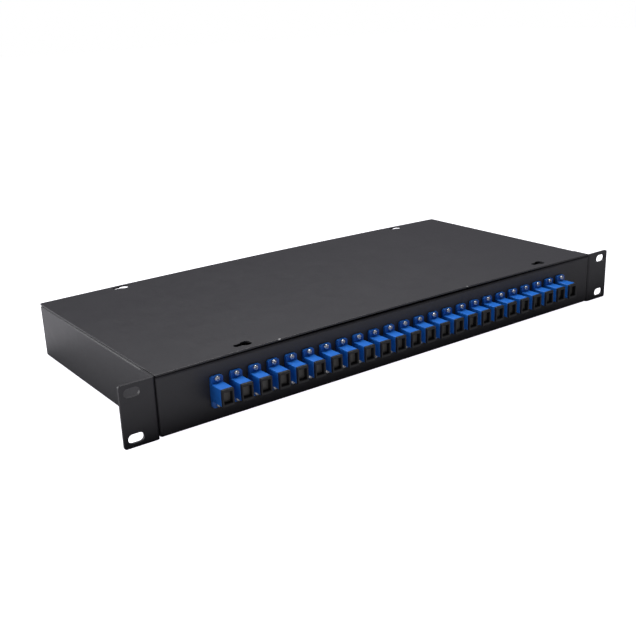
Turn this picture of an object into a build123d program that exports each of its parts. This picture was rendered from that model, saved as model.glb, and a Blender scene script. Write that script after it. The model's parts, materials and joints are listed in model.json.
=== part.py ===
from build123d import *
import os

# Fibre patch panel for a 19 inch rack, one unit high: a folded steel case with a row of
# SC adapters across its front. Every adapter is closed by a dust cap at both ends.
#
# Frame: the origin is the centre of the rack hole pattern on the mounting plane, which is
# the rear face of the two ears. +X runs to the right ear, +Y into the rack and +Z up.
# All sizes are millimetres.

# ---- rack interface ----
rack_width = 482.6
rack_hole_spacing_x = 465.1
rack_hole_spacing_z = 31.75
rack_slot_length = 11.4
rack_slot_width = 6.6
ear_height = 44.0
ear_thickness = 2.0
ear_inner_bend = 0.5
ear_corner_radius = 1.5
ear_flange_length = 18.0

# ---- case ----
case_width = 431.4
case_depth = 203.5
case_bottom = -21.6
case_top = 22.6
sheet = 1.2
bend_radius = 1.8
corner_radius = 2.0
lip_width = 6.0

# ---- cover ----
cover_gap = 0.1
cover_crown = 1.6
cover_inset = 0.4
cover_rear_overhang = 1.0
cover_corner_radius = 1.5
cover_edge_radius = 0.3
cover_flange_width = 220.0
cover_flange_height = 13.0
cover_flange_gap = 0.05
cover_screw_x = (-90.0, 0.0, 90.0)
cover_screw_drop = 9.0
locating_tab_x = (-90.0, 0.0, 90.0)
locating_tab_width = 20.0
locating_tab_height = 5.0
locating_tab_gap = 0.4

# ---- keyholes in the cover: round lobe to the right, narrow tail to the left ----
keyhole_front_hang_x = 151.2
keyhole_front_offset = 2.9
keyhole_rear_hang_x = 152.6
keyhole_rear_offset = 0.6
keyhole_tail_run = 7.5
keyhole_lobe_radius = 4.2
keyhole_tail_radius = 2.3
keyhole_front_margin = 10.0
keyhole_rear_margin = 6.8

# ---- rear cable entries and their rubber edging ----
entry_x = 150.0
entry_width = 44.0
entry_depth = 20.0
entry_corner = 6.0
edging_lap = 2.4
edging_lining = 1.6
edging_cheek = 1.3
edging_fit = 0.05

# ---- adapters ----
port_count = 24
port_pitch = 15.13
port_row_offset = 1.9
port_z = 0.0
adapter_width = 9.3
adapter_height = 12.6
adapter_edge_radius = 0.7
adapter_mouth_chamfer = 0.3
flange_height = 22.8
flange_thickness = 2.2
flange_corner = 1.8
flange_screw_spacing = 18.8
adapter_front_length = 14.0
adapter_rear_length = 12.5
socket_width = 7.5
socket_height = 9.1
middle_wall_front = 2.4
middle_wall_rear = 0.6
window_clearance = 0.2
barrel_radius = 2.4
barrel_front_length = 6.0
barrel_rear_length = 5.0
sleeve_outer_radius = 1.6
sleeve_inner_radius = 1.25
sleeve_length = 11.4
sleeve_slit = 0.5
sleeve_clearance = 0.08
latch_offset = 3.4
latch_width = 3.0
latch_thickness = 0.7
latch_barb = 0.4
latch_barb_length = 1.2
key_width = 2.5
key_length = 5.0

# ---- dust caps ----
cap_clearance = 0.15
cap_corner = 0.5
cap_collar_thickness = 2.0
cap_collar_width = 9.2
cap_collar_height = 12.5
cap_collar_corner = 0.7
cap_seat_gap = 0.05
cap_insertion = 9.0
cap_wall = 0.55
cap_pocket_width = 6.5
cap_pocket_height = 8.2
cap_pocket_depth = 3.6
cap_pocket_chamfer = 0.4
cap_web = 1.2

# ---- fasteners ----
m2_shank_radius = 0.95
m2_head_radius = 1.9
m2_head_height = 1.5
m2_length = 5.6
m3_shank_radius = 1.45
m3_head_radius = 2.8
m3_head_height = 2.0
m3_length = 6.0
thread_clearance = 0.05
through_clearance = 0.25
ear_screw_depth = 10.0
ear_screw_z = 11.0
clinch_nut_radius = 3.2
clinch_nut_height = 2.0

# ---- splice tray, its lid and its standoffs ----
splice_width = 176.0
splice_depth = 96.0
splice_corner = 26.0
splice_base = 2.0
splice_wall = 1.8
splice_height = 11.0
splice_y = 104.0
standoff_height = 3.0
standoff_radius = 4.0
hub_x = 52.0
hub_radius = 17.0
hub_wall = 1.6
hub_drop = 2.0
hub_tab_count = 3
hub_tab_reach = 6.0
hub_tab_thickness = 1.2
hub_tab_width = 9.0
comb_length = 42.0
comb_teeth = 13
comb_pitch = 3.4
comb_tooth = 1.1
comb_height = 6.0
fibre_gap_x = 45.0
fibre_gap_width = 16.0
lid_thickness = 1.5
lid_rim_depth = 1.2
lid_rim_wall = 1.2
lid_fit = 0.3
lid_gap = 0.05
lid_finger_radius = 9.0

# ---- places that follow from the sizes above ----
front = -ear_thickness
rear = front + case_depth
case_middle_y = (front + rear) / 2
side_face = case_width / 2
tray_top = case_top - sheet - cover_gap
floor_top = case_bottom + sheet
cover_underside = case_top - sheet
cover_root = cover_crown + sheet / 4
cover_front = front + cover_inset
cover_rear = rear + cover_rear_overhang
cover_screw_z = case_top - cover_screw_drop
ear_screw_y = front + ear_screw_depth
splice_floor = floor_top + standoff_height
splice_rim = splice_floor + splice_height
adapter_mouth = -adapter_front_length
barrel_rear = middle_wall_rear + barrel_rear_length
barrel_length = barrel_rear + middle_wall_front + barrel_front_length
cap_width = socket_width - 2 * cap_clearance
cap_height = socket_height - 2 * cap_clearance
cap_seat = adapter_mouth - cap_seat_gap
cap_face = cap_seat - cap_collar_thickness
cap_end = cap_seat + cap_insertion

port_x = [
    port_row_offset + port_pitch * (number - (port_count - 1) / 2) for number in range(port_count)
]


def upright(y):
    """Upright plane at depth y, seen from the front; a positive extrusion runs forwards to -Y."""
    return Plane.XZ.offset(-y)


def level(z):
    """Horizontal plane at height z."""
    return Plane.XY.offset(z)


def save(block, name):
    """Labels a finished piece and writes it to its own file."""
    block.part.label = name
    export_step(block.part, f"parts/{name}.step")


def save_copies(shape, name, spots):
    """Copies one shape to every spot and saves the copies together as one node."""
    with BuildPart() as group:
        with Locations(*spots):
            add(shape)
    save(group, name)


def pan_head_screw(shank_radius, head_radius, head_height, length):
    """Cross-recessed pan-head screw, head towards +Z, bearing face on the XY plane."""
    with BuildPart() as screw:
        Cylinder(head_radius, head_height, align=(Align.CENTER, Align.CENTER, Align.MIN))
        fillet(screw.faces().sort_by(Axis.Z)[-1].edges(), head_height * 0.55)
        with BuildSketch(level(head_height)):
            Rectangle(head_radius * 1.15, head_radius * 0.26)
            Rectangle(head_radius * 0.26, head_radius * 1.15)
        extrude(amount=-head_height * 0.6, mode=Mode.SUBTRACT)
        with BuildSketch(level(0)):
            Circle(shank_radius)
        extrude(amount=-length)
        chamfer(screw.faces().sort_by(Axis.Z)[0].edges(), shank_radius * 0.3)
    return screw.part


def make_tray():
    """Folded case: floor, four walls and the narrow lips that the cover lies on."""
    slot_radius = m3_shank_radius + through_clearance
    with BuildPart() as tray:
        with BuildSketch(level(case_bottom)):
            with Locations((0, case_middle_y)):
                RectangleRounded(case_width, case_depth, corner_radius)
        extrude(amount=tray_top - case_bottom)
        fillet(tray.faces().sort_by(Axis.Z)[0].edges(), bend_radius)
        fillet(tray.faces().sort_by(Axis.Z)[-1].edges(), bend_radius)

        with BuildSketch(level(floor_top)):
            with Locations((0, case_middle_y)):
                RectangleRounded(
                    case_width - 2 * sheet, case_depth - 2 * sheet, corner_radius - sheet
                )
        extrude(amount=tray_top - case_bottom - 2 * sheet, mode=Mode.SUBTRACT)

        # opening inside the lips, widened at the rear where the cover's flange drops in
        with BuildSketch(level(tray_top - sheet)):
            with Locations((0, case_middle_y)):
                Rectangle(case_width - 2 * lip_width, case_depth - 2 * lip_width)
            with Locations((0, rear - sheet)):
                Rectangle(
                    cover_flange_width + 2 * lip_width,
                    lip_width,
                    align=(Align.CENTER, Align.MAX),
                )
        extrude(amount=sheet, mode=Mode.SUBTRACT)

        # front panel: a window and two tapped holes for each adapter
        with BuildSketch(upright(front)):
            with Locations(*[(x, port_z) for x in port_x]):
                Rectangle(
                    adapter_width + 2 * window_clearance, adapter_height + 2 * window_clearance
                )
                with GridLocations(0, flange_screw_spacing, 1, 2):
                    Circle(m2_shank_radius + thread_clearance)
        extrude(amount=-sheet, mode=Mode.SUBTRACT)

        # rear wall: two cable entries, then three open-topped slots for the cover screws
        with BuildSketch(upright(rear)):
            with Locations((-entry_x, tray_top), (entry_x, tray_top)):
                RectangleRounded(entry_width, 2 * entry_depth, entry_corner)
        extrude(amount=lip_width, mode=Mode.SUBTRACT)
        with BuildSketch(upright(rear)):
            with Locations(*[(x, cover_screw_z) for x in cover_screw_x]):
                Circle(slot_radius)
                Rectangle(
                    2 * slot_radius, case_top - cover_screw_z, align=(Align.CENTER, Align.MIN)
                )
        extrude(amount=sheet, mode=Mode.SUBTRACT)

        # clinch nuts behind the ears
        for side in (-1, 1):
            inwards = (-side, 0, 0)
            inner_face = Plane((side * (side_face - sheet), 0, 0), x_dir=(0, 1, 0), z_dir=inwards)
            outer_face = Plane((side * side_face, 0, 0), x_dir=(0, 1, 0), z_dir=inwards)
            nut_spots = [(ear_screw_y, ear_screw_z), (ear_screw_y, -ear_screw_z)]
            with BuildSketch(inner_face):
                with Locations(*nut_spots):
                    Circle(clinch_nut_radius)
            extrude(amount=clinch_nut_height)
            with BuildSketch(outer_face):
                with Locations(*nut_spots):
                    Circle(m3_shank_radius + thread_clearance)
            extrude(amount=sheet + clinch_nut_height, mode=Mode.SUBTRACT)

        # standoffs for the splice tray, tapped through the floor
        with BuildSketch(level(floor_top)):
            with Locations((-hub_x, splice_y), (hub_x, splice_y)):
                Circle(standoff_radius)
        extrude(amount=standoff_height)
        with BuildSketch(level(splice_floor)):
            with Locations((-hub_x, splice_y), (hub_x, splice_y)):
                Circle(m3_shank_radius + thread_clearance)
        extrude(amount=-(standoff_height + sheet), mode=Mode.SUBTRACT)
    return tray


def make_cover():
    """Slightly crowned cover with four keyholes, a screw flange at the rear and front tabs."""
    edge_x = case_width / 2 - cover_inset
    crown_underside = cover_underside + cover_crown
    hang_spots = [
        (side * hang_x + offset, y)
        for hang_x, offset, y in (
            (keyhole_front_hang_x, keyhole_front_offset, front + keyhole_front_margin),
            (keyhole_rear_hang_x, keyhole_rear_offset, cover_rear - keyhole_rear_margin),
        )
        for side in (-1, 1)
    ]
    with BuildPart() as cover:
        # the sheet rises from its two ends to its middle
        with BuildSketch(upright(cover_rear)):
            with BuildLine():
                ThreePointArc((-edge_x, case_top), (0, case_top + cover_crown), (edge_x, case_top))
                Line((edge_x, case_top), (edge_x, cover_underside))
                ThreePointArc(
                    (edge_x, cover_underside), (0, crown_underside), (-edge_x, cover_underside)
                )
                Line((-edge_x, cover_underside), (-edge_x, case_top))
            make_face()
        extrude(amount=cover_rear - cover_front)
        corners = cover.edges().filter_by(Axis.Z)
        fillet(corners, cover_corner_radius)
        top = cover.faces().sort_by(lambda face: face.center().Z)[-1]
        fillet(top.edges(), cover_edge_radius)

        with BuildSketch(level(cover_underside)):
            with Locations(*hang_spots):
                Circle(keyhole_tail_radius)
                Rectangle(
                    keyhole_tail_run, 2 * keyhole_tail_radius, align=(Align.MIN, Align.CENTER)
                )
                with Locations((keyhole_tail_run, 0)):
                    Circle(keyhole_lobe_radius)
        extrude(amount=sheet + cover_crown, mode=Mode.SUBTRACT)

        # the flange and the tabs grow out of the underside of the crowned sheet
        with BuildSketch(upright(rear - sheet - cover_flange_gap)):
            with Locations((0, cover_underside - cover_flange_height)):
                Rectangle(
                    cover_flange_width,
                    cover_flange_height + cover_root,
                    align=(Align.CENTER, Align.MIN),
                )
            with Locations(*[(x, cover_screw_z) for x in cover_screw_x]):
                Circle(m3_shank_radius + thread_clearance, mode=Mode.SUBTRACT)
        extrude(amount=sheet)

        with BuildSketch(upright(front + lip_width + locating_tab_gap)):
            with Locations(*[(x, cover_underside - locating_tab_height) for x in locating_tab_x]):
                Rectangle(
                    locating_tab_width,
                    locating_tab_height + cover_root,
                    align=(Align.CENTER, Align.MIN),
                )
        extrude(amount=-sheet)
    return cover


def make_ear(side):
    """Angle bracket: slotted front plate and a short flange against the side of the case."""
    plate_edge = side * rack_width / 2
    flange_inner = side * side_face
    flange_outer = side * (side_face + ear_thickness)
    hole_x = side * rack_hole_spacing_x / 2
    hole_z = rack_hole_spacing_z / 2
    with BuildPart() as ear:
        with BuildSketch(level(-ear_height / 2)):
            with BuildLine():
                Polyline(
                    (flange_inner, front),
                    (plate_edge, front),
                    (plate_edge, 0),
                    (flange_outer, 0),
                    (flange_outer, front + ear_flange_length),
                    (flange_inner, front + ear_flange_length),
                    close=True,
                )
            make_face()
        extrude(amount=ear_height)
        upright_edges = ear.edges().filter_by(Axis.Z)
        outer_bend = upright_edges.sort_by_distance((flange_inner, front, 0))[0]
        inner_bend = upright_edges.sort_by_distance((flange_outer, 0, 0))[0]
        fillet(outer_bend, ear_thickness + ear_inner_bend)
        fillet(inner_bend, ear_inner_bend)
        end_edges = ear.edges().filter_by(Axis.Y).sort_by_distance((plate_edge, front, 0))[:2]
        fillet(end_edges, ear_corner_radius)

        with BuildSketch(upright(front)):
            with Locations((hole_x, hole_z), (hole_x, -hole_z)):
                SlotOverall(rack_slot_length, rack_slot_width)
        extrude(amount=-ear_thickness, mode=Mode.SUBTRACT)

        flange_plane = Plane((flange_inner, 0, 0), x_dir=(0, 1, 0), z_dir=(side, 0, 0))
        with BuildSketch(flange_plane):
            with Locations((ear_screw_y, ear_screw_z), (ear_screw_y, -ear_screw_z)):
                Circle(m3_shank_radius + through_clearance)
        extrude(amount=ear_thickness, mode=Mode.SUBTRACT)
    return ear


def make_adapter():
    """SC adapter about its own axis, with the front face of its panel on the plane y = 0."""
    with BuildPart() as adapter:
        with BuildSketch(upright(0)):
            RectangleRounded(adapter_width, flange_height, flange_corner)
        extrude(amount=flange_thickness)
        with BuildSketch(upright(adapter_rear_length)):
            RectangleRounded(adapter_width, adapter_height, adapter_edge_radius)
        extrude(amount=adapter_front_length + adapter_rear_length)
        chamfer(adapter.faces().sort_by(Axis.Y)[0].edges(), adapter_mouth_chamfer)
        with BuildSketch(upright(0)):
            with GridLocations(0, flange_screw_spacing, 1, 2):
                Circle(m2_shank_radius + through_clearance)
        extrude(amount=flange_thickness, mode=Mode.SUBTRACT)

        # front and rear sockets, with a wall left between them
        with BuildSketch(upright(adapter_mouth)):
            Rectangle(socket_width, socket_height)
        extrude(amount=-(adapter_front_length - middle_wall_front), mode=Mode.SUBTRACT)
        with BuildSketch(upright(adapter_rear_length)):
            Rectangle(socket_width, socket_height)
        extrude(amount=adapter_rear_length - middle_wall_rear, mode=Mode.SUBTRACT)

        # key slots in the right-hand wall of each mouth
        with BuildSketch(upright(adapter_mouth)):
            with Locations((adapter_width / 2, 0)):
                Rectangle(adapter_width - socket_width, key_width)
        extrude(amount=-key_length, mode=Mode.SUBTRACT)
        with BuildSketch(upright(adapter_rear_length)):
            with Locations((adapter_width / 2, 0)):
                Rectangle(adapter_width - socket_width, key_width)
        extrude(amount=key_length, mode=Mode.SUBTRACT)

        # barrel that holds the alignment sleeve
        with BuildSketch(upright(barrel_rear)):
            Circle(barrel_radius)
        extrude(amount=barrel_length)
        with BuildSketch(upright(barrel_rear)):
            Circle(sleeve_inner_radius + sleeve_clearance)
        extrude(amount=barrel_length, mode=Mode.SUBTRACT)
        chamber_length = sleeve_length + 2 * sleeve_clearance
        with BuildSketch(upright(barrel_rear - (barrel_length - chamber_length) / 2)):
            Circle(sleeve_outer_radius + sleeve_clearance)
        extrude(amount=chamber_length, mode=Mode.SUBTRACT)

        # barbed latch tongues above and below the barrel, front and rear
        latch_spots = [(0, latch_offset), (0, -latch_offset)]
        barb_offset = latch_offset - (latch_thickness + latch_barb) / 2
        barb_spots = [(0, barb_offset), (0, -barb_offset)]
        for root, length in (
            (-middle_wall_front, barrel_front_length),
            (middle_wall_rear, -barrel_rear_length),
        ):
            tip = root - length
            barb = latch_barb_length if length > 0 else -latch_barb_length
            with BuildSketch(upright(root)):
                with Locations(*latch_spots):
                    Rectangle(latch_width, latch_thickness)
            extrude(amount=length)
            with BuildSketch(upright(tip)):
                with Locations(*barb_spots):
                    Rectangle(latch_width, latch_barb)
            extrude(amount=-barb)
    return adapter.part


def make_cap():
    """Dust cap for a front socket: a collar over the mouth, a pocket in it and a hollow plug."""
    hollow_length = cap_end - cap_face - cap_pocket_depth - cap_web
    with BuildPart() as cap:
        with BuildSketch(upright(cap_seat)):
            RectangleRounded(cap_collar_width, cap_collar_height, cap_collar_corner)
        extrude(amount=cap_collar_thickness)
        with BuildSketch(upright(cap_seat)):
            RectangleRounded(cap_width, cap_height, cap_corner)
        extrude(amount=-cap_insertion)
        fillet(cap.faces().sort_by(Axis.Y)[0].outer_wire().edges(), cap_pocket_chamfer)
        with BuildSketch(upright(cap_face)):
            RectangleRounded(cap_pocket_width, cap_pocket_height, cap_corner)
        extrude(amount=-cap_pocket_depth, mode=Mode.SUBTRACT)
        pocket_rim = cap.faces().sort_by(Axis.Y)[0].inner_wires()[0].edges()
        chamfer(pocket_rim, cap_pocket_chamfer)
        with BuildSketch(upright(cap_end)):
            RectangleRounded(cap_width - 2 * cap_wall, cap_height - 2 * cap_wall, cap_corner)
        extrude(amount=hollow_length, mode=Mode.SUBTRACT)
    return cap.part


def make_sleeve():
    """Split ceramic sleeve that lines up the two ferrules inside an adapter."""
    middle = barrel_rear - barrel_length / 2
    with BuildPart() as sleeve:
        with BuildSketch(upright(middle + sleeve_length / 2)):
            Circle(sleeve_outer_radius)
            Circle(sleeve_inner_radius, mode=Mode.SUBTRACT)
            with Locations((0, sleeve_inner_radius)):
                Rectangle(
                    sleeve_slit, sleeve_outer_radius, align=Align.CENTER, mode=Mode.SUBTRACT
                )
        extrude(amount=sleeve_length)
    return sleeve.part


def make_edging():
    """Rubber edging: one U of grooved trim round each cable entry, open at its top."""
    entry_spots = [(-entry_x, tray_top), (entry_x, tray_top)]
    top = tray_top - sheet - 2 * edging_fit
    with BuildPart() as edging:
        with BuildSketch(upright(rear + edging_cheek)):
            with Locations(*entry_spots):
                RectangleRounded(
                    entry_width + 2 * edging_lap,
                    2 * (entry_depth + edging_lap),
                    entry_corner + edging_lap,
                )
                RectangleRounded(
                    entry_width - 2 * edging_lining,
                    2 * (entry_depth - edging_lining),
                    entry_corner - edging_lining,
                    mode=Mode.SUBTRACT,
                )
            with Locations((0, top)):
                Rectangle(
                    case_width,
                    2 * entry_depth,
                    align=(Align.CENTER, Align.MIN),
                    mode=Mode.SUBTRACT,
                )
        extrude(amount=sheet + 2 * edging_cheek)

        # groove for the wall
        with BuildSketch(upright(rear + edging_fit)):
            with Locations(*entry_spots):
                Rectangle(entry_width + 4 * edging_lap, 2 * (entry_depth + 2 * edging_lap))
                RectangleRounded(
                    entry_width - 2 * edging_fit,
                    2 * (entry_depth - edging_fit),
                    entry_corner - edging_fit,
                    mode=Mode.SUBTRACT,
                )
        extrude(amount=sheet + 2 * edging_fit, mode=Mode.SUBTRACT)
    return edging


def make_splice_tray():
    """Shallow moulded tray with two winding hubs and a comb that holds the splices."""
    base_top = splice_floor + splice_base
    hub_spots = [(-hub_x, splice_y), (hub_x, splice_y)]
    hub_top = splice_rim - hub_drop
    with BuildPart() as tray:
        with BuildSketch(level(splice_floor)):
            with Locations((0, splice_y)):
                RectangleRounded(splice_width, splice_depth, splice_corner)
        extrude(amount=splice_height)
        with BuildSketch(level(base_top)):
            with Locations((0, splice_y)):
                RectangleRounded(
                    splice_width - 2 * splice_wall,
                    splice_depth - 2 * splice_wall,
                    splice_corner - splice_wall,
                )
        extrude(amount=splice_height - splice_base, mode=Mode.SUBTRACT)

        # gaps where the fibres enter and leave
        with BuildSketch(level(base_top)):
            with Locations((-fibre_gap_x, splice_y), (fibre_gap_x, splice_y)):
                Rectangle(fibre_gap_width, splice_depth)
        extrude(amount=splice_height - splice_base, mode=Mode.SUBTRACT)

        # hubs, with tabs that keep the turns of fibre down
        with BuildSketch(level(base_top)):
            with Locations(*hub_spots):
                Circle(hub_radius)
                Circle(hub_radius - hub_wall, mode=Mode.SUBTRACT)
        extrude(amount=hub_top - base_top)
        with BuildSketch(level(hub_top - hub_tab_thickness)):
            with Locations(*hub_spots):
                with PolarLocations(hub_radius - hub_wall / 2, hub_tab_count, start_angle=90):
                    Rectangle(
                        hub_tab_reach, hub_tab_width, align=(Align.MIN, Align.CENTER)
                    )
        extrude(amount=hub_tab_thickness)

        with BuildSketch(level(base_top)):
            with Locations((0, splice_y)):
                with GridLocations(0, comb_pitch, 1, comb_teeth):
                    Rectangle(comb_length, comb_tooth)
        extrude(amount=comb_height)

        with BuildSketch(level(base_top)):
            with Locations(*hub_spots):
                Circle(m3_shank_radius + through_clearance)
        extrude(amount=-splice_base, mode=Mode.SUBTRACT)
    return tray


def make_splice_lid():
    """Flat clear lid with a rim that drops inside the tray's wall, and two finger notches."""
    lid_bottom = splice_rim + lid_gap
    rim_inset = 2 * (splice_wall + lid_fit)
    rim_hollow = rim_inset + 2 * lid_rim_wall
    with BuildPart() as lid:
        with BuildSketch(level(lid_bottom)):
            with Locations((0, splice_y)):
                RectangleRounded(splice_width, splice_depth, splice_corner)
        extrude(amount=lid_thickness)
        with BuildSketch(level(lid_bottom)):
            with Locations((0, splice_y)):
                RectangleRounded(
                    splice_width - rim_inset,
                    splice_depth - rim_inset,
                    splice_corner - rim_inset / 2,
                )
                RectangleRounded(
                    splice_width - rim_hollow,
                    splice_depth - rim_hollow,
                    splice_corner - rim_hollow / 2,
                    mode=Mode.SUBTRACT,
                )
        extrude(amount=-lid_rim_depth)
        with BuildSketch(level(lid_bottom - lid_rim_depth)):
            with Locations((0, splice_y - splice_depth / 2), (0, splice_y + splice_depth / 2)):
                Circle(lid_finger_radius)
        extrude(amount=lid_rim_depth + lid_thickness, mode=Mode.SUBTRACT)
    return lid


os.makedirs("parts", exist_ok=True)

save(make_tray(), "chassis_tray")
save(make_cover(), "top_cover")
save(make_ear(-1), "left_ear")
save(make_ear(1), "right_ear")
save(make_edging(), "entry_edging")
save(make_splice_tray(), "splice_tray")
save(make_splice_lid(), "splice_tray_lid")

adapter_shape = make_adapter()
cap_shape = make_cap()
for number, x in enumerate(port_x, start=1):
    save_copies(adapter_shape, f"adapter_{number:02d}", [(x, front, port_z)])
    save_copies(cap_shape, f"dust_cap_{number:02d}", [(x, front, port_z)])

# the rear caps are the front ones turned round, set into the shorter rear sockets
rear_cap_shift = adapter_rear_length - adapter_front_length
save_copies(
    cap_shape,
    "rear_dust_caps",
    [Location((x, front + rear_cap_shift, port_z), (0, 0, 180)) for x in port_x],
)
save_copies(make_sleeve(), "alignment_sleeves", [(x, front, port_z) for x in port_x])

m2_screw = pan_head_screw(m2_shank_radius, m2_head_radius, m2_head_height, m2_length)
m3_screw = pan_head_screw(m3_shank_radius, m3_head_radius, m3_head_height, m3_length)
flange_face = front - flange_thickness
adapter_screw_spots = [
    Location((x, flange_face, port_z + side * flange_screw_spacing / 2), (90, 0, 0))
    for x in port_x
    for side in (-1, 1)
]
save_copies(m2_screw, "adapter_screws", adapter_screw_spots)

ear_outer_face = side_face + ear_thickness
ear_screw_spots = [
    Location((side * ear_outer_face, ear_screw_y, z), (0, side * 90, 0))
    for side in (-1, 1)
    for z in (-ear_screw_z, ear_screw_z)
]
splice_screw_spots = [
    Location((side * hub_x, splice_y, splice_floor + splice_base)) for side in (-1, 1)
]
save_copies(m3_screw, "case_screws", ear_screw_spots + splice_screw_spots)
save_copies(
    m3_screw,
    "cover_screws",
    [Location((x, rear, cover_screw_z), (-90, 0, 0)) for x in cover_screw_x],
)
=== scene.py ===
import json
import math

import bpy
from mathutils import Matrix, Vector


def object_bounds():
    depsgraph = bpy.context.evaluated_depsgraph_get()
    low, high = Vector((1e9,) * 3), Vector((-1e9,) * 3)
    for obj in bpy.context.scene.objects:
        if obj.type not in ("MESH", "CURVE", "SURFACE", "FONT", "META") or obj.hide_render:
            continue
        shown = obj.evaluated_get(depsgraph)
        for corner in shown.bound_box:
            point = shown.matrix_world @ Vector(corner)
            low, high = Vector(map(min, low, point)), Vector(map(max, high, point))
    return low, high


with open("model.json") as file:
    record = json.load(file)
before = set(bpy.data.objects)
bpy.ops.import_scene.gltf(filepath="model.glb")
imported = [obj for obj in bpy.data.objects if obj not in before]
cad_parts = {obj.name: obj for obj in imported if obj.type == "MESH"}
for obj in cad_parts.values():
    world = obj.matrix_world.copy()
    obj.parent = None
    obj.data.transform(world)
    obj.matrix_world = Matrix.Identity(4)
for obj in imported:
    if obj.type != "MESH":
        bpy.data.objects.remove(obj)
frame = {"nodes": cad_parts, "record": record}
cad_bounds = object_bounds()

# Looks of the fibre patch panel: procedural finishes on the CAD nodes, a pale floor, soft
# studio light and the camera. Lengths are metres, in the part's own frame.

MM = 0.001

# ---- camera ----
CAMERA_AT = (-0.449637, -0.508400, 0.242801)
CAMERA_AZIMUTH = -35.700
CAMERA_ELEVATION = 18.706
CAMERA_ROLL = -2.187
CAMERA_LENS = 52.28
CAMERA_SENSOR_WIDTH = 36.0
CAMERA_CLIP_START = 0.02
CAMERA_CLIP_END = 40.0

# ---- floor ----
FLOOR_Z = -0.022
FLOOR_HALF_SIZE = 6.0
FLOOR_SEEN_LOW = (0.34, 0.34, 0.34)
FLOOR_SEEN_HIGH = (0.36, 0.36, 0.36)
FLOOR_BOUNCE = (0.12, 0.12, 0.125)
FLOOR_TINT = (1.0, 0.985, 1.05, 1.0)
FLOOR_SEEN_GLOW = 1.02
FLOOR_SIDE_GLOW = 1.15
FLOOR_FRONT_GLOW = 0.86
FLOOR_FAR_FRONT_GLOW = 0.55
FLOOR_RIGHT_DIMMING = 0.45

# ---- room ----
ROOM_LOW = (0.105, 0.103, 0.112)
ROOM_HIGH = (0.270, 0.266, 0.287)
ROOM_BEHIND = (0.0, 0.0, 0.0)
ROOM_RISE = (0.15, 0.6)
ROOM_REARWARDS = (0.70, 0.84)

# ---- soft boxes: place, aim, width and height, radiance ----
TOP_LIGHT = ((0.04, 0.22, 0.9), (0.02, 0.14, 0.0), (0.75, 0.45), 12.4)
LEFT_LIGHT = ((-0.84, 0.40, 0.26), (-0.2, 0.12, 0.0), (0.9, 0.5), 5.2)

# ---- details on single pieces ----
CAP_RECESS_Y = -0.0165
FACING_FRONT = -0.7
LARGE_CHIP = ((-0.1190, -0.0014, 0.0236), 0.8 * MM)
SMALL_CHIP = ((0.0640, -0.0014, 0.0240), 0.45 * MM)
CHIP_RAGGEDNESS = 0.6 * MM
BEVEL_SAMPLES = 6


def socket(node, name, value):
    """Sets a plain number or colour on a shader socket."""
    node.inputs[name].default_value = value


def colour_mix(tree, amount, first, second):
    """Mixes two colours; each is a colour output or a plain (r, g, b)."""
    node = tree.nodes.new("ShaderNodeMix")
    node.data_type = "RGBA"
    tree.links.new(amount, node.inputs["Factor"])
    colours = [entry for entry in node.inputs if entry.type == "RGBA"]
    for into, value in zip(colours, (first, second)):
        if isinstance(value, tuple):
            into.default_value = (*value, 1.0)
        else:
            tree.links.new(value, into)
    return [entry for entry in node.outputs if entry.type == "RGBA"][0]


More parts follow.
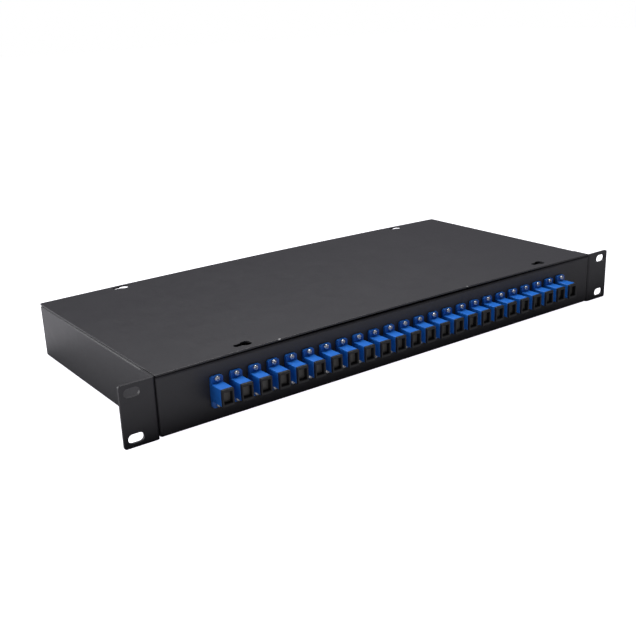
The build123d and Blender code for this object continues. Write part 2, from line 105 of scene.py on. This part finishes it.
class Finish:
    """A small helper that builds one node material around a Principled shader."""

    def __init__(self, name):
        self.material = bpy.data.materials.new(name)
        self.material.use_nodes = True
        self.tree = self.material.node_tree
        self.tree.nodes.clear()
        self.output = self.tree.nodes.new("ShaderNodeOutputMaterial")
        self.shader = self.tree.nodes.new("ShaderNodeBsdfPrincipled")
        self.join(self.shader.outputs["BSDF"], self.output.inputs["Surface"])
        self.position = self.tree.nodes.new("ShaderNodeTexCoord").outputs["Object"]

    def join(self, out, into):
        self.tree.links.new(out, into)

    def noise(self, size, detail=3.0, roughness=0.55, distortion=0.0):
        """Noise whose blobs are about size across, in metres."""
        node = self.tree.nodes.new("ShaderNodeTexNoise")
        socket(node, "Scale", 1.0 / size)
        socket(node, "Detail", detail)
        socket(node, "Roughness", roughness)
        socket(node, "Distortion", distortion)
        self.join(self.position, node.inputs["Vector"])
        return node.outputs["Fac"]

    def remap(self, value, low, high, to_low, to_high):
        node = self.tree.nodes.new("ShaderNodeMapRange")
        self.join(value, node.inputs["Value"])
        socket(node, "From Min", low)
        socket(node, "From Max", high)
        socket(node, "To Min", to_low)
        socket(node, "To Max", to_high)
        return node.outputs["Result"]

    def maths(self, operation, first, second):
        node = self.tree.nodes.new("ShaderNodeMath")
        node.operation = operation
        for index, value in enumerate((first, second)):
            if isinstance(value, (int, float)):
                node.inputs[index].default_value = value
            else:
                self.join(value, node.inputs[index])
        return node.outputs["Value"]

    def blend(self, amount, first, second):
        return colour_mix(self.tree, amount, first, second)

    def bump(self, heights, edge_radius=0.0):
        """Stacks (height, depth in metres) pairs; the lowest layer rounds the edges."""
        normal = None
        if edge_radius > 0:
            bevel = self.tree.nodes.new("ShaderNodeBevel")
            bevel.samples = BEVEL_SAMPLES
            socket(bevel, "Radius", edge_radius)
            normal = bevel.outputs["Normal"]
        for height, depth in heights:
            node = self.tree.nodes.new("ShaderNodeBump")
            socket(node, "Strength", 1.0)
            socket(node, "Distance", depth)
            self.join(height, node.inputs["Height"])
            if normal is not None:
                self.join(normal, node.inputs["Normal"])
            normal = node.outputs["Normal"]
        self.join(normal, self.shader.inputs["Normal"])

    def edges(self, radius, low, high):
        """0 on flats and 1 along sharp edges."""
        bevel = self.tree.nodes.new("ShaderNodeBevel")
        bevel.samples = BEVEL_SAMPLES
        socket(bevel, "Radius", radius)
        geometry = self.tree.nodes.new("ShaderNodeNewGeometry")
        dot = self.tree.nodes.new("ShaderNodeVectorMath")
        dot.operation = "DOT_PRODUCT"
        self.join(bevel.outputs["Normal"], dot.inputs[0])
        self.join(geometry.outputs["Normal"], dot.inputs[1])
        bend = self.maths("SUBTRACT", 1.0, dot.outputs["Value"])
        return self.remap(bend, low, high, 0.0, 1.0)

    def facing_front(self):
        """1 on faces turned to -Y, 0 on the others."""
        turned = self.tree.nodes.new("ShaderNodeSeparateXYZ")
        self.join(self.tree.nodes.new("ShaderNodeNewGeometry").outputs["Normal"], turned.inputs[0])
        return self.maths("LESS_THAN", turned.outputs["Y"], FACING_FRONT)

    def behind(self, y):
        """1 where the piece lies behind the plane at y, 0 in front of it."""
        place = self.tree.nodes.new("ShaderNodeSeparateXYZ")
        self.join(self.position, place.inputs[0])
        return self.maths("GREATER_THAN", place.outputs["Y"], y)

    def spot(self, centre, radius):
        """1 inside a ragged spot, 0 outside."""
        away = self.tree.nodes.new("ShaderNodeVectorMath")
        away.operation = "DISTANCE"
        self.join(self.position, away.inputs[0])
        away.inputs[1].default_value = centre
        raggedness = self.remap(self.noise(CHIP_RAGGEDNESS), 0.3, 0.7, -radius, radius)
        ragged = self.maths("ADD", away.outputs["Value"], raggedness)
        return self.remap(ragged, radius, 0.8 * radius, 0.0, 1.0)


def powder_coat():
    """Black fine-texture powder coat with faint clouds and smears, worn edges and two chips."""
    f = Finish("black_powder_coat")
    grain = f.noise(0.45 * MM, detail=2.0, roughness=0.6)
    peel = f.noise(3.0 * MM, detail=1.0)
    clouds = f.noise(60.0 * MM, detail=4.0, roughness=0.6)
    smears = f.noise(16.0 * MM, detail=5.0, roughness=0.65, distortion=0.8)
    speckle = f.remap(grain, 0.3, 0.7, 0.0, 1.0)
    base = f.blend(speckle, (0.0105, 0.0101, 0.0127), (0.0163, 0.0158, 0.0190))
    base = f.blend(f.remap(clouds, 0.3, 0.8, 0.05, 0.28), base, (0.0215, 0.0210, 0.0240))
    patches = f.remap(smears, 0.40, 0.70, 0.0, 0.4)
    wear = f.maths("MULTIPLY", f.edges(0.5 * MM, 0.02, 0.2), patches)
    base = f.blend(wear, base, (0.030, 0.0295, 0.033))
    chips = f.maths("MAXIMUM", f.spot(*LARGE_CHIP), f.spot(*SMALL_CHIP))
    base = f.blend(chips, base, (0.42, 0.42, 0.41))
    f.join(base, f.shader.inputs["Base Color"])
    f.join(f.remap(smears, 0.3, 0.75, 0.455, 0.505), f.shader.inputs["Roughness"])
    socket(f.shader, "Specular IOR Level", 0.50)
    f.bump([(grain, 0.05 * MM), (peel, 0.02 * MM)], edge_radius=0.2 * MM)
    return f.material


def blue_plastic():
    """Moulded blue adapter plastic, with a painted highlight along its edges."""
    f = Finish("adapter_blue")
    fine = f.noise(0.25 * MM, detail=2.0)
    flow = f.noise(5.0 * MM, detail=3.0, distortion=0.5)
    streaks = f.remap(flow, 0.3, 0.7, 0.0, 1.0)
    base = f.blend(streaks, (0.0055, 0.096, 0.400), (0.0080, 0.120, 0.480))
    # painted highlight: sharp edges are painted a paler blue, standing in for light catching the
    # rounded edges
    painted_edge_highlight = f.maths("MULTIPLY", f.edges(0.25 * MM, 0.02, 0.25), 0.30)
    base = f.blend(painted_edge_highlight, base, (0.035, 0.21, 0.66))
    f.join(base, f.shader.inputs["Base Color"])
    f.join(f.remap(flow, 0.3, 0.7, 0.34, 0.44), f.shader.inputs["Roughness"])
    socket(f.shader, "Specular IOR Level", 0.45)
    f.bump([(fine, 0.010 * MM), (flow, 0.03 * MM)], edge_radius=0.18 * MM)
    return f.material


def cap_plastic():
    """Black cap plastic; the floor of the pocket in the face is painted lighter, painted light on a
    face that the recess shades.
    """
    f = Finish("cap_plastic")
    fine = f.noise(0.3 * MM, detail=2.0)
    dust = f.noise(2.2 * MM, detail=5.0, roughness=0.7)
    rim = f.blend(f.remap(dust, 0.4, 0.75, 0.0, 0.6), (0.009, 0.009, 0.010), (0.016, 0.016, 0.016))
    # painted light: front-facing faces behind the cap's face plane (the pocket floor) get a lighter
    # warm grey in place of light the shaded pocket does not get
    pocket_floor_painted_light = f.maths("MULTIPLY", f.facing_front(), f.behind(CAP_RECESS_Y))
    base = f.blend(pocket_floor_painted_light, rim, (0.085, 0.083, 0.077))
    f.join(base, f.shader.inputs["Base Color"])
    f.join(f.remap(dust, 0.3, 0.7, 0.42, 0.55), f.shader.inputs["Roughness"])
    socket(f.shader, "Specular IOR Level", 0.30)
    f.bump([(fine, 0.012 * MM), (dust, 0.02 * MM)], edge_radius=0.12 * MM)
    return f.material


def plated_steel():
    """Bright nickel-plated screws with fine turning marks and a little tarnish."""
    f = Finish("plated_screw")
    fine = f.noise(0.12 * MM, detail=3.0)
    tarnish = f.noise(1.4 * MM, detail=4.0, roughness=0.65)
    dulled = f.remap(tarnish, 0.35, 0.75, 0.0, 1.0)
    base = f.blend(dulled, (0.66, 0.66, 0.65), (0.46, 0.46, 0.45))
    f.join(base, f.shader.inputs["Base Color"])
    socket(f.shader, "Metallic", 1.0)
    f.join(f.remap(tarnish, 0.3, 0.7, 0.20, 0.36), f.shader.inputs["Roughness"])
    f.bump([(fine, 0.006 * MM)], edge_radius=0.1 * MM)
    return f.material


def ceramic():
    """Polished white zirconia."""
    f = Finish("zirconia")
    mottle = f.noise(0.8 * MM, detail=3.0)
    base = f.blend(mottle, (0.86, 0.86, 0.83), (0.78, 0.78, 0.75))
    f.join(base, f.shader.inputs["Base Color"])
    f.join(f.remap(mottle, 0.3, 0.7, 0.10, 0.18), f.shader.inputs["Roughness"])
    f.bump([(mottle, 0.003 * MM)], edge_radius=0.05 * MM)
    return f.material


def rubber():
    """Matte black rubber edging."""
    f = Finish("rubber")
    fine = f.noise(0.35 * MM, detail=4.0, roughness=0.7)
    bloom = f.noise(7.0 * MM, detail=4.0)
    greyed = f.remap(bloom, 0.35, 0.7, 0.0, 1.0)
    base = f.blend(greyed, (0.014, 0.014, 0.014), (0.030, 0.030, 0.030))
    f.join(base, f.shader.inputs["Base Color"])
    f.join(f.remap(fine, 0.3, 0.7, 0.68, 0.82), f.shader.inputs["Roughness"])
    socket(f.shader, "Specular IOR Level", 0.3)
    f.bump([(fine, 0.03 * MM)], edge_radius=0.3 * MM)
    return f.material


def tray_plastic():
    """Pale grey moulded plastic of the splice tray."""
    f = Finish("tray_plastic")
    fine = f.noise(0.4 * MM, detail=3.0)
    flow = f.noise(24.0 * MM, detail=3.0, distortion=0.6)
    streaks = f.remap(flow, 0.3, 0.7, 0.0, 1.0)
    base = f.blend(streaks, (0.56, 0.56, 0.54), (0.64, 0.64, 0.62))
    f.join(base, f.shader.inputs["Base Color"])
    f.join(f.remap(flow, 0.3, 0.7, 0.36, 0.46), f.shader.inputs["Roughness"])
    f.bump([(fine, 0.012 * MM)], edge_radius=0.3 * MM)
    return f.material


def clear_plastic():
    """Clear, slightly smoked lid with hairline scratches."""
    f = Finish("clear_lid")
    haze = f.noise(30.0 * MM, detail=4.0)
    hair = f.noise(0.8 * MM, detail=2.0, distortion=2.0)
    base = f.blend(haze, (0.90, 0.93, 0.94), (0.84, 0.87, 0.89))
    f.join(base, f.shader.inputs["Base Color"])
    f.join(f.remap(haze, 0.3, 0.7, 0.05, 0.14), f.shader.inputs["Roughness"])
    socket(f.shader, "IOR", 1.49)
    socket(f.shader, "Transmission Weight", 0.9)
    f.bump([(hair, 0.002 * MM)], edge_radius=0.3 * MM)
    return f.material


FINISHES = {
    "black_coat": powder_coat(),
    "adapter_blue": blue_plastic(),
    "cap_plastic": cap_plastic(),
    "plated_screw": plated_steel(),
    "zirconia": ceramic(),
    "rubber": rubber(),
    "tray_plastic": tray_plastic(),
    "clear_lid": clear_plastic(),
}
SLOT_OF_NODE = {entry["node"]: entry["material_slot"] for entry in frame["record"]["subparts"]}

for name, piece in frame["nodes"].items():
    piece.data.materials.clear()
    piece.data.materials.append(FINISHES[SLOT_OF_NODE[name]])


def seen_directly(tree):
    """1 for what the camera looks at straight, 0 for what only lights or reflects."""
    return tree.nodes.new("ShaderNodeLightPath").outputs["Is Camera Ray"]


def floor_light(f):
    """The floor's own light: none at the case, most beside it, some before and behind it."""
    (low_x, low_y, _), (high_x, high_y, _) = cad_bounds
    place = f.tree.nodes.new("ShaderNodeSeparateXYZ")
    f.join(f.position, place.inputs[0])
    past_x = f.maths("SUBTRACT", f.maths("ABSOLUTE", place.outputs["X"], 0.0), (high_x - low_x) / 2)
    off_centre = f.maths("SUBTRACT", place.outputs["Y"], (low_y + high_y) / 2)
    past_y = f.maths("SUBTRACT", f.maths("ABSOLUTE", off_centre, 0.0), (high_y - low_y) / 2)
    beside = f.remap(past_x, 0.02, 0.16, 0.0, FLOOR_SIDE_GLOW)
    before = f.maths(
        "MULTIPLY",
        f.remap(past_y, 0.0, 0.04, 0.0, 1.0),
        f.remap(past_y, 0.05, 0.35, FLOOR_FRONT_GLOW, FLOOR_FAR_FRONT_GLOW),
    )
    rightwards = f.remap(place.outputs["X"], -0.15, 0.40, 1.0, FLOOR_RIGHT_DIMMING)
    return f.maths("MULTIPLY", f.maths("MAXIMUM", beside, before), rightwards)


def pale_floor():
    """A large pale sheet, evenly white to the eye."""
    f = Finish("pale_floor")
    seen = f.blend(f.noise(0.5, detail=2.0), FLOOR_SEEN_LOW, FLOOR_SEEN_HIGH)
    direct = seen_directly(f.tree)
    f.join(f.blend(direct, FLOOR_BOUNCE, seen), f.shader.inputs["Base Color"])
    socket(f.shader, "Roughness", 0.9)
    socket(f.shader, "Specular IOR Level", 0.0)
    socket(f.shader, "Emission Color", FLOOR_TINT)
    glow = f.maths(
        "ADD",
        f.maths("MULTIPLY", direct, FLOOR_SEEN_GLOW),
        f.maths("MULTIPLY", f.maths("SUBTRACT", 1.0, direct), floor_light(f)),
    )
    f.join(glow, f.shader.inputs["Emission Strength"])
    half = FLOOR_HALF_SIZE
    corners = [(-half, -half, 0), (half, -half, 0), (half, half, 0), (-half, half, 0)]
    mesh = bpy.data.meshes.new("floor")
    mesh.from_pydata(corners, [], [(0, 1, 2, 3)])
    mesh.materials.append(f.material)
    floor = bpy.data.objects.new("floor", mesh)
    floor.location = (0, 0, FLOOR_Z)
    bpy.context.scene.collection.objects.link(floor)


def soft_box(name, at, aim, size, radiance):
    """An even rectangular light at a place, turned to its aim and unseen by the camera."""
    light = bpy.data.lights.new(name, "AREA")
    light.shape = "RECTANGLE"
    light.size, light.size_y = size
    light.energy = radiance * math.pi * size[0] * size[1]
    lamp = bpy.data.objects.new(name, light)
    lamp.location = at
    lamp.rotation_mode = "QUATERNION"
    lamp.rotation_quaternion = (Vector(aim) - Vector(at)).to_track_quat("-Z", "Y")
    lamp.visible_camera = False
    bpy.context.scene.collection.objects.link(lamp)


def ramp(tree, value, limits):
    """0 below the lower limit and 1 above the upper one."""
    node = tree.nodes.new("ShaderNodeMapRange")
    tree.links.new(value, node.inputs["Value"])
    low, high = limits
    socket(node, "From Min", low)
    socket(node, "From Max", high)
    return node.outputs["Result"]


def studio_light():
    """A room, dim near the horizon and dark behind, with soft boxes overhead and at the left."""
    world = bpy.data.worlds.new("studio")
    world.use_nodes = True
    tree = world.node_tree
    towards = tree.nodes.new("ShaderNodeSeparateXYZ")
    tree.links.new(tree.nodes.new("ShaderNodeTexCoord").outputs["Generated"], towards.inputs[0])
    walls = colour_mix(tree, ramp(tree, towards.outputs["Z"], ROOM_RISE), ROOM_LOW, ROOM_HIGH)
    room = colour_mix(tree, ramp(tree, towards.outputs["Y"], ROOM_REARWARDS), walls, ROOM_BEHIND)
    whole = colour_mix(tree, seen_directly(tree), room, (1.0, 1.0, 1.0))
    tree.links.new(whole, tree.nodes["Background"].inputs["Color"])
    bpy.context.scene.world = world
    soft_box("top_light", *TOP_LIGHT)
    soft_box("left_light", *LEFT_LIGHT)


def photo_camera():
    """The camera, turned by its azimuth, elevation and roll."""
    azimuth = math.radians(CAMERA_AZIMUTH)
    elevation = math.radians(CAMERA_ELEVATION)
    roll = math.radians(CAMERA_ROLL)
    ahead = Vector(
        (
            -math.sin(azimuth) * math.cos(elevation),
            math.cos(azimuth) * math.cos(elevation),
            -math.sin(elevation),
        )
    )
    right = ahead.cross(Vector((0, 0, 1))).normalized()
    up = right.cross(ahead)
    x_axis = right * math.cos(roll) + up * math.sin(roll)
    y_axis = up * math.cos(roll) - right * math.sin(roll)
    data = bpy.data.cameras.new("camera")
    data.sensor_width = CAMERA_SENSOR_WIDTH
    data.lens = CAMERA_LENS
    data.clip_start, data.clip_end = CAMERA_CLIP_START, CAMERA_CLIP_END
    camera = bpy.data.objects.new("camera", data)
    camera.matrix_world = Matrix.Translation(CAMERA_AT) @ Matrix(
        (x_axis, y_axis, -ahead)
    ).transposed().to_4x4()
    bpy.context.scene.collection.objects.link(camera)
    bpy.context.scene.camera = camera


pale_floor()
studio_light()
photo_camera()
bpy.context.scene.view_settings.view_transform = "Standard"
